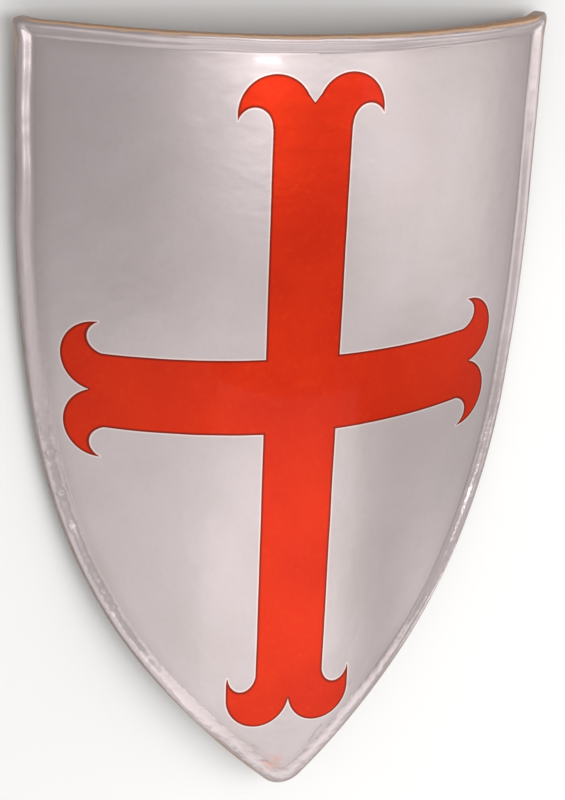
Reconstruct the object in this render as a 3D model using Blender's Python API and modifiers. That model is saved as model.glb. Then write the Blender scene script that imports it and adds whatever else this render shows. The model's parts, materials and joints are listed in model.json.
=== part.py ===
"""Heater shield of curved board with a folded edge binding and two straps behind, lying face up.

Every piece is drawn on the unbent shield and then bent round the curve. There s runs across
from the crown line, y runs up from the tip's end towards the top edge, whose middle is at 0,
and n is the height over the painted face. Lengths are in metres.
"""
import math

import bmesh
import bpy
from mathutils import Matrix, Vector

# Whole shield
HEIGHT = 0.760
HALF_WIDTH = 0.271
BEND_RADIUS = 0.550
GAP = 0.0003

# Outline, from the top corner down to the blunt tip
STRAIGHT_SIDE = 0.164
SHOULDER_RADIUS = 1.22
SHOULDER_TURN = math.radians(9.8)
FLANK_RADIUS = 0.565
FLANK_TURN = math.radians(29.2)
TIP_HALF_WIDTH = 0.018
TIP_RADIUS = 0.028
CORNER_RISE = 0.009
EAR_RADIUS = 0.0070
EAR_REACH = 0.0022
EAR_RISE = 0.0033
EAR_START = math.radians(-15)
EAR_TURN = math.radians(120)

# Board, thinned a little behind where the binding is folded over it. Between these slopes and the
# tip the back is flat along the crown line, where the mounts are
BOARD_THICKNESS = 0.008
EDGE_THINNING = 0.0010
COLUMN_WIDTH = 0.0235
FLAT_FROM_TIP = 0.060

# Binding, folded round the edge of the board
BAND_WIDTH = 0.017
BACK_BAND_WIDTH = 0.015
BINDING_WALL = 0.003
BACK_WALL = 0.002
CREST_HEIGHT = 0.0050
CREST_DEPTH = 0.0042
BAND_EDGE = 0.0010
NOSE_START = 0.0017
NOSE_STEPS = 3
SLOPE_STEPS = (0.2, 0.45, 0.72, 1.0)
BACK_CHAMFER = 0.0020
STATION_STEP = 0.024
EAR_STEPS = 6
TIP_STEPS = 5

# Straps on the back: place of the middle, width, loop length and loop rise. A strap's end is
# rounded off in steps of (distance from its end, share of the full width)
STRAP_THICKNESS = 0.0035
ARM_STRAP = {"name": "arm_strap", "across": 0.085, "middle": -0.265, "width": 0.042,
             "loop": 0.130, "rise": 0.042}
HAND_STRAP = {"name": "hand_strap", "across": -0.090, "middle": -0.265, "width": 0.030,
              "loop": 0.105, "rise": 0.036}
TAB_LENGTH = 0.044
TAB_END = ((0.0, 0.45), (0.0065, 0.8), (0.010, 1.0))
LOOP_STEPS = 18
LOOP_FULLNESS = 0.7
RIVET_INSETS = (0.012, 0.031)

# Rivets
RIVET_HEAD_RADIUS = 0.0062
RIVET_HEAD_HEIGHT = 0.0030
RIVET_SHANK_RADIUS = 0.0020
RIVET_BITE = 0.0050
RIVET_SIDES = 16
DOME_STEPS = 4

COLOURS = {
    "painted_wood": ((0.56, 0.49, 0.50), 0.30, 0.0),
    "painted_edging": ((0.62, 0.54, 0.50), 0.35, 0.0),
    "strap_leather": ((0.13, 0.055, 0.025), 0.60, 0.0),
    "rivet_iron": ((0.16, 0.15, 0.14), 0.45, 1.0),
}


def clear_scene():
    for old in list(bpy.data.objects):
        bpy.data.objects.remove(old, do_unlink=True)


def new_collection(name):
    collection = bpy.data.collections.new(name)
    bpy.context.scene.collection.children.link(collection)
    return collection


def make_material(name):
    colour, roughness, metallic = COLOURS[name]
    material = bpy.data.materials.new(name)
    material.use_nodes = True
    shader = material.node_tree.nodes["Principled BSDF"]
    shader.inputs["Base Color"].default_value = (*colour, 1.0)
    shader.inputs["Roughness"].default_value = roughness
    shader.inputs["Metallic"].default_value = metallic
    material.diffuse_color = (*colour, 1.0)
    return material


def new_object(name, mesh, collection, parent, material):
    obj = bpy.data.objects.new(name, mesh)
    collection.objects.link(obj)
    obj.parent = parent
    if material:
        mesh.materials.append(material)
    return obj


def bend(s, y, n):
    """A point of the unbent shield, put on the curve."""
    angle = s / BEND_RADIUS
    radius = BEND_RADIUS + n
    return Vector((radius * math.sin(angle), y, radius * math.cos(angle) - BEND_RADIUS))


def bend_mesh(mesh):
    for vertex in mesh.vertices:
        vertex.co = bend(*vertex.co)
    mesh.update()


def arc_points(start, heading, radius, turn):
    """Points and inward normals along an arc; heading is the angle from straight down."""
    steps = max(2, math.ceil(radius * abs(turn) / STATION_STEP))
    points = []
    for k in range(1, steps + 1):
        angle = heading + turn * k / steps
        x = start[0] - radius * (math.cos(heading) - math.cos(angle))
        y = start[1] - radius * (math.sin(angle) - math.sin(heading))
        points.append(((x, y), (-math.cos(angle), math.sin(angle))))
    return points


def top_edge_height(s):
    return CORNER_RISE * (s / HALF_WIDTH) ** 2


def column_lines():
    """Places of the board's bends on one side, so that a flat strip stays at the crown."""
    count = math.ceil(HALF_WIDTH / COLUMN_WIDTH)
    return [(k + 0.5) * COLUMN_WIDTH for k in range(count)]


def corner_points(with_ear):
    """The top corner from its top side round to its outer side."""
    if not with_ear:
        return [(HALF_WIDTH, CORNER_RISE)]
    centre_s = HALF_WIDTH + EAR_REACH - EAR_RADIUS
    centre_y = CORNER_RISE + EAR_RISE - EAR_RADIUS
    points = []
    for k in range(EAR_STEPS + 1):
        angle = EAR_START + EAR_TURN * (1 - k / EAR_STEPS)
        points.append((centre_s + EAR_RADIUS * math.cos(angle),
                       centre_y + EAR_RADIUS * math.sin(angle)))
    return points


def side_points():
    """Outer points with inward normals down one side, to where the blunt tip begins."""
    top_of_side = CORNER_RISE - BAND_WIDTH
    inward = (-1.0, 0.0)
    points = [((HALF_WIDTH, y), inward) for y in (top_of_side, -STRAIGHT_SIDE)]
    points += arc_points(points[-1][0], 0.0, SHOULDER_RADIUS, SHOULDER_TURN)
    points += arc_points(points[-1][0], SHOULDER_TURN, FLANK_RADIUS, FLANK_TURN)
    # The last arc leaves the flank smoothly and ends where the round of the tip begins
    heading = SHOULDER_TURN + FLANK_TURN
    start = points[-1][0]
    tip_depth = TIP_RADIUS - math.sqrt(TIP_RADIUS ** 2 - TIP_HALF_WIDTH ** 2)
    across = start[0] - TIP_HALF_WIDTH
    down = start[1] + HEIGHT - tip_depth
    half_turn = math.atan2(across, down) - heading
    radius = math.hypot(across, down) / (2 * math.sin(half_turn))
    return points + arc_points(start, heading, radius, 2 * half_turn)


def tip_points():
    """One half of the blunt tip, as side_points gives the side."""
    limit = math.asin(TIP_HALF_WIDTH / TIP_RADIUS)
    points = []
    for k in range(1, TIP_STEPS // 2 + 1):
        angle = limit * (1 - 2 * k / TIP_STEPS)
        point = (TIP_RADIUS * math.sin(angle), TIP_RADIUS * (1 - math.cos(angle)) - HEIGHT)
        points.append((point, (-math.sin(angle), math.cos(angle))))
    return points


def half_stations(with_ear):
    """Pairs of outer point and point a band's width inside, from crown to tip on one side."""
    inner_s = HALF_WIDTH - BAND_WIDTH
    inner_corner = (inner_s, top_edge_height(inner_s) - BAND_WIDTH)
    top = [s for s in column_lines() if s < inner_s]
    pairs = [((s, top_edge_height(s)), (s, top_edge_height(s) - BAND_WIDTH)) for s in top]
    pairs.append(((inner_s, top_edge_height(inner_s)), inner_corner))
    pairs += [(point, inner_corner) for point in corner_points(with_ear)]
    outer, inner = [], []
    for point, normal in side_points() + tip_points():
        outer.append(point)
        inner.append((point[0] + BAND_WIDTH * normal[0], point[1] + BAND_WIDTH * normal[1]))
    inner[0] = inner_corner
    # Where a sharp tip's inner edges would cross the crown line, they share their mitre point
    crossing = next((k for k, point in enumerate(inner) if point[0] <= 0), None)
    if crossing:
        before, after = inner[crossing - 1], inner[crossing]
        share = before[0] / (before[0] - after[0])
        mitre = (0.0, before[1] + share * (after[1] - before[1]))
        inner[crossing:] = [mitre] * (len(inner) - crossing)
    return pairs + list(zip(outer, inner))


def stations(with_ear):
    """The whole edge, clockwise seen from the front, from just right of the crown."""
    right = half_stations(with_ear)
    left = [((-p[0], p[1]), (-q[0], q[1])) for p, q in reversed(right)]
    return right + left


def ring(pairs, depth):
    """The line that runs at one depth inside the edge."""
    share = depth / BAND_WIDTH
    return [(p[0] + share * (q[0] - p[0]), p[1] + share * (q[1] - p[1])) for p, q in pairs]


def binding_profile():
    """Section of the binding as (depth in from the edge, height over the face)."""
    back_in = -(BOARD_THICKNESS + GAP)
    back_out = back_in - BACK_WALL
    front_in = GAP
    profile = [
        (BACK_BAND_WIDTH, back_in),
        (BACK_BAND_WIDTH, back_out),
        (BACK_CHAMFER, back_out),
        (0.0, back_out + BACK_CHAMFER),
        (0.0, NOSE_START),
    ]
    # The rolled nose is a quarter of an ellipse, and the slope behind it fades out evenly
    for k in range(1, NOSE_STEPS + 1):
        angle = math.pi / 2 * k / NOSE_STEPS
        profile.append((CREST_DEPTH * (1 - math.cos(angle)),
                        NOSE_START + (CREST_HEIGHT - NOSE_START) * math.sin(angle)))
    for share in SLOPE_STEPS:
        fade = 0.5 + 0.5 * math.cos(math.pi * share)
        profile.append((CREST_DEPTH + share * (BAND_WIDTH - CREST_DEPTH),
                        BAND_EDGE + (CREST_HEIGHT - BAND_EDGE) * fade))
    profile += [(BAND_WIDTH, front_in), (BINDING_WALL, front_in),
                (BINDING_WALL, back_in + EDGE_THINNING)]
    return profile


def build_binding(collection, parent, material):
    pairs = stations(with_ear=True)
    bm = bmesh.new()
    rows = [[bm.verts.new((s, y, n)) for s, y in ring(pairs, depth)]
            for depth, n in binding_profile()]
    count = len(pairs)
    for row, after in zip(rows, rows[1:] + rows[:1]):
        for i in range(count):
            j = (i + 1) % count
            # Both sides of the shield are split along mirrored diagonals
            if i < count // 2:
                bm.faces.new((row[i], row[j], after[j]))
                bm.faces.new((row[i], after[j], after[i]))
            else:
                bm.faces.new((row[i], row[j], after[i]))
                bm.faces.new((row[j], after[j], after[i]))
    bmesh.ops.remove_doubles(bm, verts=bm.verts, dist=1e-6)
    bmesh.ops.recalc_face_normals(bm, faces=bm.faces)
    mesh = bpy.data.meshes.new("rim_binding")
    bm.to_mesh(mesh)
    bm.free()
    bend_mesh(mesh)
    return new_object("rim_binding", mesh, collection, parent, material)


def split_across(bm, place, normal):
    everything = bm.verts[:] + bm.edges[:] + bm.faces[:]
    bmesh.ops.bisect_plane(bm, geom=everything, plane_co=place, plane_no=normal, dist=1e-6)


def build_board(collection, parent, material):
    pairs = stations(with_ear=False)
    edge_depth = BINDING_WALL + GAP
    section = ((edge_depth, 0.0), (edge_depth, EDGE_THINNING - BOARD_THICKNESS),
               (BAND_WIDTH, -BOARD_THICKNESS))
    bm = bmesh.new()
    rows = [[bm.verts.new((s, y, n)) for s, y in ring(pairs, depth)] for depth, n in section]
    bm.faces.new(rows[0])
    bm.faces.new(rows[-1])
    for row, after in zip(rows, rows[1:]):
        for i in range(len(row)):
            j = (i + 1) % len(row)
            bm.faces.new((row[i], row[j], after[j], after[i]))
    bmesh.ops.remove_doubles(bm, verts=bm.verts, dist=1e-6)
    for line in column_lines():
        split_across(bm, (-line, 0, 0), (1, 0, 0))
        split_across(bm, (line, 0, 0), (1, 0, 0))
    split_across(bm, (0, FLAT_FROM_TIP - HEIGHT, 0), (0, 1, 0))
    bmesh.ops.recalc_face_normals(bm, faces=bm.faces)
    mesh = bpy.data.meshes.new("board")
    bm.to_mesh(mesh)
    bm.free()
    bend_mesh(mesh)
    return new_object("board", mesh, collection, parent, material)


def strap_path(strap):
    """Stations along a strap as (y, height off the board, share of the full width)."""
    half_loop = strap["loop"] / 2
    tab = [(TAB_LENGTH - inset, share) for inset, share in TAB_END]
    tab.append((TAB_LENGTH / 2, 1.0))
    path = [(half_loop + out, 0.0, share) for out, share in tab]
    for k in range(LOOP_STEPS + 1):
        along = k / LOOP_STEPS
        lift = (0.5 - 0.5 * math.cos(2 * math.pi * along)) ** LOOP_FULLNESS
        path.append((half_loop * (1 - 2 * along), strap["rise"] * lift, 1.0))
    path += [(-(half_loop + out), 0.0, share) for out, share in reversed(tab)]
    return path


def build_strap(strap, collection, parent, material):
    bm = bmesh.new()
    lines = []
    for along, lift, share in strap_path(strap):
        half = share * strap["width"] / 2
        n = -(BOARD_THICKNESS + GAP + lift)
        lines.append([bm.verts.new((strap["across"] + side * half, strap["middle"] + along, n))
                      for side in (-1, 0, 1)])
    for line, after in zip(lines, lines[1:]):
        for i in range(2):
            bm.faces.new((line[i], line[i + 1], after[i + 1], after[i]))
    mesh = bpy.data.meshes.new(strap["name"])
    bm.to_mesh(mesh)
    bm.free()
    flat = bpy.data.objects.new("strap_flat", mesh)
    collection.objects.link(flat)
    solidify = flat.modifiers.new("thickness", "SOLIDIFY")
    solidify.thickness = STRAP_THICKNESS
    solidify.offset = 1.0
    solidify.use_even_offset = True
    thick = evaluated_mesh(flat)
    bpy.data.objects.remove(flat)
    thick.name = strap["name"]
    bend_mesh(thick)
    return new_object(strap["name"], thick, collection, parent, material)


def evaluated_mesh(obj):
    graph = bpy.context.evaluated_depsgraph_get()
    graph.update()
    return bpy.data.meshes.new_from_object(obj.evaluated_get(graph))


def rivet_places():
    """Every rivet as (across, y), strap by strap."""
    places = []
    for strap in (ARM_STRAP, HAND_STRAP):
        for end in (1, -1):
            for inset in RIVET_INSETS:
                reach = strap["loop"] / 2 + TAB_LENGTH - inset
                places.append((strap["across"], strap["middle"] + end * reach))
    return places


def back_matrix(s, y, n):
    """Placing on the back: local +Z points away from the board."""
    turn = Matrix.Rotation(math.pi + s / BEND_RADIUS, 4, "Y")
    return Matrix.Translation(bend(s, y, n)) @ turn


def rivet_mesh():
    """Half of a rivet's section, for turning about its own axis."""
    bm = bmesh.new()
    profile = []
    for k in range(DOME_STEPS + 1):
        angle = math.pi / 2 * k / DOME_STEPS
        profile.append((RIVET_HEAD_RADIUS * math.sin(angle), RIVET_HEAD_HEIGHT * math.cos(angle)))
    depth = 2 * GAP + STRAP_THICKNESS + RIVET_BITE
    profile += [(RIVET_SHANK_RADIUS, 0.0), (RIVET_SHANK_RADIUS, -depth), (0.0, -depth)]
    verts = [bm.verts.new((x, 0.0, z)) for x, z in profile]
    for a, b in zip(verts, verts[1:]):
        bm.edges.new((a, b))
    mesh = bpy.data.meshes.new("rivet")
    bm.to_mesh(mesh)
    bm.free()
    return mesh


def build_rivets(collection, parent, material):
    mesh = rivet_mesh()
    mesh.materials.append(material)
    n = -(BOARD_THICKNESS + 2 * GAP + STRAP_THICKNESS)
    for number, (s, y) in enumerate(rivet_places(), start=1):
        rivet = new_object(f"strap_rivet_{number}", mesh, collection, parent, None)
        rivet.matrix_local = back_matrix(s, y, n)
        screw = rivet.modifiers.new("turn", "SCREW")
        screw.steps = RIVET_SIDES
        screw.render_steps = RIVET_SIDES
        screw.use_merge_vertices = True
        screw.merge_threshold = 0.00001


def build_cutters(collection, parent):
    """Holes for the rivet shanks, through the strap ends and part way into the board."""
    inner_end = RIVET_BITE + GAP - BOARD_THICKNESS
    outer_end = -(BOARD_THICKNESS + GAP + STRAP_THICKNESS + RIVET_HEAD_HEIGHT)
    radius = RIVET_SHANK_RADIUS + GAP
    for number, (s, y) in enumerate(rivet_places(), start=1):
        bm = bmesh.new()
        bmesh.ops.create_cone(bm, cap_ends=True, segments=RIVET_SIDES, radius1=radius,
                              radius2=radius, depth=inner_end - outer_end)
        mesh = bpy.data.meshes.new("rivet_hole")
        bm.to_mesh(mesh)
        bm.free()
        cutter = new_object(f"rivet_hole_{number}", mesh, collection, parent, None)
        cutter.matrix_local = back_matrix(s, y, (inner_end + outer_end) / 2)
        cutter.hide_render = True
        cutter.display_type = "WIRE"


def cut_holes(obj, cutters):
    cut = obj.modifiers.new("rivet_holes", "BOOLEAN")
    cut.operation = "DIFFERENCE"
    cut.operand_type = "COLLECTION"
    cut.collection = cutters
    cut.solver = "EXACT"


def volume_moment(mesh):
    """Volume of a closed mesh, and its centroid times that volume."""
    mesh.calc_loop_triangles()
    volume, moment = 0.0, Vector((0.0, 0.0, 0.0))
    for triangle in mesh.loop_triangles:
        a, b, c = (mesh.vertices[i].co for i in triangle.vertices)
        part = a.dot(b.cross(c)) / 6
        volume += part
        moment += part * (a + b + c) / 4
    return volume, moment


def lower_hull(points):
    hull = []
    for point in sorted(points):
        while len(hull) > 1:
            (ay, az), (by, bz) = hull[-2], hull[-1]
            if (by - ay) * (point[1] - az) - (bz - az) * (point[0] - ay) > 0:
                break
            hull.pop()
        hull.append(point)
    return hull


def lay_down(frame, pieces):
    """Tilt and lift the shield to where it rests, on a short flat stretch of each side's edge."""
    volume, moment = 0.0, Vector((0.0, 0.0, 0.0))
    for piece in pieces:
        part, part_moment = volume_moment(piece.data)
        volume += part
        moment += part_moment
    centre = moment / volume
    points = [vertex.co.copy() for piece in pieces for vertex in piece.data.vertices]
    hull = lower_hull({(round(p.y, 6), round(p.z, 6)) for p in points})
    for (ay, az), (by, bz) in zip(hull, hull[1:]):
        slope = Vector((by - ay, bz - az)).normalized()
        along = (centre.y - ay) * slope.x + (centre.z - az) * slope.y
        if 0 <= along <= math.hypot(by - ay, bz - az):
            tilt = -math.atan2(bz - az, by - ay)
            break
    turn = Matrix.Rotation(tilt, 3, "X")
    placed = [turn @ p for p in points]
    lowest = min(p.z for p in placed)
    middle = (min(p.y for p in placed) + max(p.y for p in placed)) / 2
    frame.rotation_euler = (tilt, 0.0, 0.0)
    frame.location = (0.0, -middle, -lowest)


def main():
    clear_scene()
    shield = new_collection("heater_shield")
    cutters = new_collection("cutters")
    frame = bpy.data.objects.new("shield_frame", None)
    shield.objects.link(frame)
    board = build_board(shield, frame, make_material("painted_wood"))
    binding = build_binding(shield, frame, make_material("painted_edging"))
    leather = make_material("strap_leather")
    straps = [build_strap(strap, shield, frame, leather) for strap in (ARM_STRAP, HAND_STRAP)]
    build_rivets(shield, frame, make_material("rivet_iron"))
    build_cutters(cutters, frame)
    for obj in [board] + straps:
        cut_holes(obj, cutters)
    lay_down(frame, [board, binding])


main()
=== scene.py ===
"""Looks of the wooden heater shield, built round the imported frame.

Every piece is drawn on the unbent shield and then bent round the curve and laid down as the frame
lies. There s runs across from the crown line, y runs up to the top edge, whose middle is at 0, and
n is the height over the painted face. Lengths are in metres.
"""
import json
import math

import bpy
import numpy as np
from mathutils import Matrix, Vector, noise

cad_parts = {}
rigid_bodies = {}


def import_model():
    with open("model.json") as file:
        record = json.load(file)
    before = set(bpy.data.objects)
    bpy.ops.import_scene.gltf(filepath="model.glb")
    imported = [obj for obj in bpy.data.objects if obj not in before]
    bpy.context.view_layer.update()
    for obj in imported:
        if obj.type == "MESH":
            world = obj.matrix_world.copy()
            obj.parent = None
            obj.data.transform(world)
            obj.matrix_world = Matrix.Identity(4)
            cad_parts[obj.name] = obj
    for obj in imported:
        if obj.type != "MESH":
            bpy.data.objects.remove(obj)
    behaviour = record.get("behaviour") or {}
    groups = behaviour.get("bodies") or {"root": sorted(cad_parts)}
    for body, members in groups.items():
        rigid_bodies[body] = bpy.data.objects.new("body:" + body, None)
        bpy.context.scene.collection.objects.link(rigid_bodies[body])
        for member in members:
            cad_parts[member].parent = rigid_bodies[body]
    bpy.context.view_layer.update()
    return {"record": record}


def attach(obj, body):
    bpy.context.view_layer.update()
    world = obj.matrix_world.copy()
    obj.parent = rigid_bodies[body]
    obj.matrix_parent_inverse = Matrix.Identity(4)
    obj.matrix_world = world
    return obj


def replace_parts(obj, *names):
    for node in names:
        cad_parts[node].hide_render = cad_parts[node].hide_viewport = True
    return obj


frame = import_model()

# Whole shield, as in the CAD
HEIGHT = 0.760
HALF_WIDTH = 0.271
BEND_RADIUS = 0.550
BOARD_THICKNESS = 0.008
SKIN_GAP = 0.0003
SHARP_FROM = math.radians(38)

# Outline, from the top corner down to the blunt tip
STRAIGHT_SIDE = 0.164
SHOULDER_RADIUS = 1.22
SHOULDER_TURN = math.radians(9.8)
FLANK_RADIUS = 0.565
FLANK_TURN = math.radians(29.2)
TIP_HALF_WIDTH = 0.018
TIP_RADIUS = 0.028
TIP_STEPS = 12
CORNER_RISE = 0.009
EAR_RADIUS = 0.0070
EAR_REACH = 0.0022
EAR_RISE = 0.0033
EAR_START = math.radians(-15)
EAR_TURN = math.radians(120)
EAR_STEPS = 16
LEFT_EAR_SHARE = 0.55
EDGE_STEP = 0.0017
CORNER_ZONE = 0.030
CORNER_SMOOTHING = 10

# Rolled edging. Its skin goes over the edge from the lip on the back to the foot on the face, and
# the number of points is given for each stretch of it
BAND_WIDTH = 0.017
BACK_BAND_WIDTH = 0.015
EDGING_WALL = 0.003
BACK_WALL = 0.002
CREST_HEIGHT = 0.0050
CREST_DEPTH = 0.0042
NOSE_START = 0.0017
SLOPE_END = 0.0164
SLOPE_ROUNDING = 0.42
BACK_ROUND = 0.0045
BACK_LIP = 0.0006
BACK_LIP_ROUND = 0.0004
LAP = 0.00008
BACK_POINTS = 14
BACK_ROUND_POINTS = 7
WALL_POINTS = 7
NOSE_POINTS = 12
SLOPE_POINTS = 26
BARE_FROM = -0.0008
BAND_FOLD = 0.0196

# Unevenness of the roll. Each noise along the edge has a seed and a pitch, and each pair of heights
# is where a change starts and ends, in metres below the top edge or, below 0, up from there
HAND_ROLLED = 0.00030
SWELLS = (1.5, 0.045)
RIPPLES = (7.5, 0.017)
RIPPLE_SHARE = 0.5
WIDTH_CHANGE = 0.0008
WIDTHS = (3.5, 0.06)
PLEAT_HEIGHT = 0.00030
PLEATS = (11.5, 0.0085)
PLEATS_ELSEWHERE = 0.10
PLEATS_START = (0.30, 0.42)
PLEATS_END = (-0.755, -0.70)
GATHERS = (19.5, 0.055)
GATHERS_EASE = (-0.25, 0.5)
FRONT_FULLNESS = 0.8
TIP_FLATTENING = 0.92
TIP_FLATTENS = (0.47, 0.72)

# Board. Its rows lie closer towards the tip, and they follow the arch of the top edge less and less
BOARD_COLUMNS = 150
BOARD_ROWS = 210
ROW_SPREAD = 1.25
ARCH_FADE = 0.25
SIDE_DEPTH_SHARE = 0.85
FOLD_OVER_DEPTH = 0.003
BELOW_CORNER = 0.002
ABOVE_TIP = 0.0004
SWAY = 0.00035
SWAY_WAVES = ((17, 5, 0.0), (-7, 11, 1.0), (13, 23, 2.0))
SWAY_RISE = 20

# Straps and rivets on the back
STRAP_THICKNESS = 0.0035
ARM_STRAP = {"name": "arm_strap", "across": 0.085, "middle": -0.265, "width": 0.042,
             "loop": 0.130, "rise": 0.042}
HAND_STRAP = {"name": "hand_strap", "across": -0.090, "middle": -0.265, "width": 0.030,
              "loop": 0.105, "rise": 0.036}
TAB_LENGTH = 0.044
TAB_ROUND = 0.010
TAB_END_SHARE = 0.45
TAB_FULLNESS = 1.4
LOOP_FULLNESS = 0.7
LOOP_POINTS = 110
STRAP_STEP = 0.0018
STRAP_POINTS = 41
STRAP_SIDE_POINTS = 9
STRAP_FACE = 0.96
STRAP_CROWN = 0.06
SKIVED_END = 0.55
STRAP_EDGE_ROUND = 0.0010
CREASE_INSET = 0.0042
CREASE_WIDTH = 0.0009
CREASE_DEPTH = 0.0005
CRUMPLE = 0.00025
CRUMPLE_ACROSS = 90
CRUMPLE_ALONG = 160
CRUMPLE_SEED = 99
RIVET_INSETS = (0.012, 0.031)
RIVET_HEAD_RADIUS = 0.0062
RIVET_HEAD_HEIGHT = 0.0030
RIVET_SHANK_RADIUS = 0.0020
RIVET_SHANK_DEPTH = 0.0030
RIVET_SIDES = 40
RIVET_RINGS = 10
RIVET_FULLNESS = 0.9
RIVET_FOOT_SHARE = 0.93
RIVET_RIM = 0.0003
RIVET_APEX = 0.00005
HAMMER_DENT = 0.00035
HAMMER_PITCH = 420
HAMMER_SEED = 3.7
RIVET_SHEET_STEP = 0.01

# Camera of the photograph, in the shield's own frame before it is laid down
PICTURE_HEIGHT = 800
SENSOR_WIDTH = 36.0
FOCAL_PIXELS = 1804.75
CAMERA_YAW = 0.38266
CAMERA_PITCH = 0.33451
CAMERA_ROLL = -0.0479
CAMERA_OFFSET = Vector((0.03356, 0.32455, -1.60544))

# Height of the upper mount, on the flat back of the crown line
UPPER_MOUNT = -0.100

# Studio: softboxes as azimuth, elevation, width and height in degrees, seen from the shield's
# middle, where 0, 0 is straight out from the face, and their brightness
DOME_RADIUS = 2.0
SHIELD_MIDDLE = -0.35
SOFTBOXES = {
    "window": (55, -4, 41, 18, 1.45),
    "low_front": (19, -29, 37, 20, 1.8),
    "overhead": (16, 12, 50, 24, 2.8),
    "low_right": (80, -34, 36, 8, 1.8),
    "low_left": (-24, -28, 44, 27, 0.9),
    "far_low": (22, -60, 60, 24, 1.2),
    "lamp": (9.5, 0.85, 7, 0.28, 150),
}
WATTS_PER_BRIGHTNESS = 3.5
ROOM_LIGHT = 0.46
FLOOR_REACH = 12.0


def resting_place():
    """How the frame lies, as a turn and a shift, read from the upper mount on the flat back."""
    mount = next(m for m in frame["record"]["mounts"] if m["name"] == "back_upper")
    axis, place = mount["axis"], Vector(mount["pos_m"])
    turn = Matrix.Rotation(math.atan2(axis[1], -axis[2]), 3, "X")
    return turn, place - turn @ Vector((0.0, UPPER_MOUNT, -BOARD_THICKNESS))


TURN, PLACE = resting_place()


def sway(s, y):
    """Slight unevenness of a board that was shaped by hand, fading out towards the edges."""
    wave = sum(np.sin(a * s + b * y + start) for a, b, start in SWAY_WAVES) / len(SWAY_WAVES)
    inside = np.clip(1 - (s / HALF_WIDTH) ** 4, 0, 1) * np.clip(-y * SWAY_RISE, 0, 1)
    return SWAY * wave * inside


def lay_down(points):
    """Points of the bent shield, put where the frame lies."""
    return points @ np.array(TURN).T + np.array(PLACE)


def bend(s, y, n):
    """Points of the unbent shield, bent and laid down."""
    s, y, n = np.broadcast_arrays(s, y, n)
    angle = s / BEND_RADIUS
    radius = BEND_RADIUS + n + sway(s, y)
    bent = np.stack((radius * np.sin(angle), y, radius * np.cos(angle) - BEND_RADIUS), -1)
    return lay_down(bent)


def smoothstep(x, low, high):
    share = np.clip((x - low) / (high - low), 0, 1)
    return share * share * (3 - 2 * share)


def wander(distance, seed, pitch):
    """Smooth noise from -1 to 1 along a line."""
    return np.array([noise.noise(Vector((d / pitch, seed, 0.5))) for d in distance]) * 2


def arc(start, heading, radius, turn):
    """Points and inward normals along an arc; heading is the angle from straight down."""
    steps = max(2, math.ceil(radius * abs(turn) / EDGE_STEP))
    angle = heading + turn * np.arange(1, steps + 1) / steps
    s = start[0] - radius * (math.cos(heading) - np.cos(angle))
    y = start[1] - radius * (np.sin(angle) - math.sin(heading))
    return np.stack((s, y), 1), np.stack((-np.cos(angle), np.sin(angle)), 1)


def top_edge_height(s):
    return CORNER_RISE * (s / HALF_WIDTH) ** 2


def line(start, end):
    """Points from start up to, and without, end."""
    start, end = np.array(start), np.array(end)
    steps = max(1, math.ceil(np.linalg.norm(end - start) / EDGE_STEP))
    return start + (end - start) * (np.arange(steps) / steps)[:, None]


def half_edge():
    """Outer points, and the points a band's width inside them, from the crown down to the tip."""
    inner_s = HALF_WIDTH - BAND_WIDTH
    inner_corner = np.array((inner_s, top_edge_height(inner_s) - BAND_WIDTH))
    s = np.linspace(0, inner_s, math.ceil(inner_s / EDGE_STEP))
    outer = [np.stack((s, top_edge_height(s)), 1)]
    inner = [np.stack((s, top_edge_height(s) - BAND_WIDTH), 1)]

    # The ear is a round knob on the corner, and short straights lead into it
    centre = np.array((HALF_WIDTH + EAR_REACH - EAR_RADIUS, CORNER_RISE + EAR_RISE - EAR_RADIUS))
    angle = EAR_START + EAR_TURN * (1 - np.arange(EAR_STEPS + 1) / EAR_STEPS)
    ear = centre + EAR_RADIUS * np.stack((np.cos(angle), np.sin(angle)), 1)
    side_start = np.array((HALF_WIDTH, CORNER_RISE - BAND_WIDTH))
    corner = np.concatenate((line(outer[0][-1], ear[0])[1:], ear, line(ear[-1], side_start)[1:]))
    outer.append(corner)
    inner.append(np.tile(inner_corner, (len(corner), 1)))

    # The side runs straight, then along two arcs and a last one that meets the round of the tip
    straight = line(side_start, (HALF_WIDTH, -STRAIGHT_SIDE))
    points, normals = [straight], [np.tile((-1.0, 0.0), (len(straight), 1))]
    start, heading = (HALF_WIDTH, -STRAIGHT_SIDE), 0.0
    for radius, turn in ((SHOULDER_RADIUS, SHOULDER_TURN), (FLANK_RADIUS, FLANK_TURN)):
        p, normal = arc(start, heading, radius, turn)
        points.append(p)
        normals.append(normal)
        start, heading = p[-1], heading + turn
    tip_depth = TIP_RADIUS - math.sqrt(TIP_RADIUS ** 2 - TIP_HALF_WIDTH ** 2)
    across, down = start[0] - TIP_HALF_WIDTH, start[1] + HEIGHT - tip_depth
    half_turn = math.atan2(across, down) - heading
    radius = math.hypot(across, down) / (2 * math.sin(half_turn))
    p, normal = arc(start, heading, radius, 2 * half_turn)
    points.append(p)
    normals.append(normal)
    left_over = 1 - np.arange(1, TIP_STEPS + 1) / TIP_STEPS
    angle = math.asin(TIP_HALF_WIDTH / TIP_RADIUS) * left_over
    tip = np.stack((TIP_RADIUS * np.sin(angle), TIP_RADIUS * (1 - np.cos(angle)) - HEIGHT), 1)
    points.append(tip)
    normals.append(np.stack((-np.sin(angle), np.cos(angle)), 1))
    points, normals = np.concatenate(points), np.concatenate(normals)
    outer.append(points)
    inner.append(points + BAND_WIDTH * normals)
    return np.concatenate(outer), np.concatenate(inner)


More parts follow.
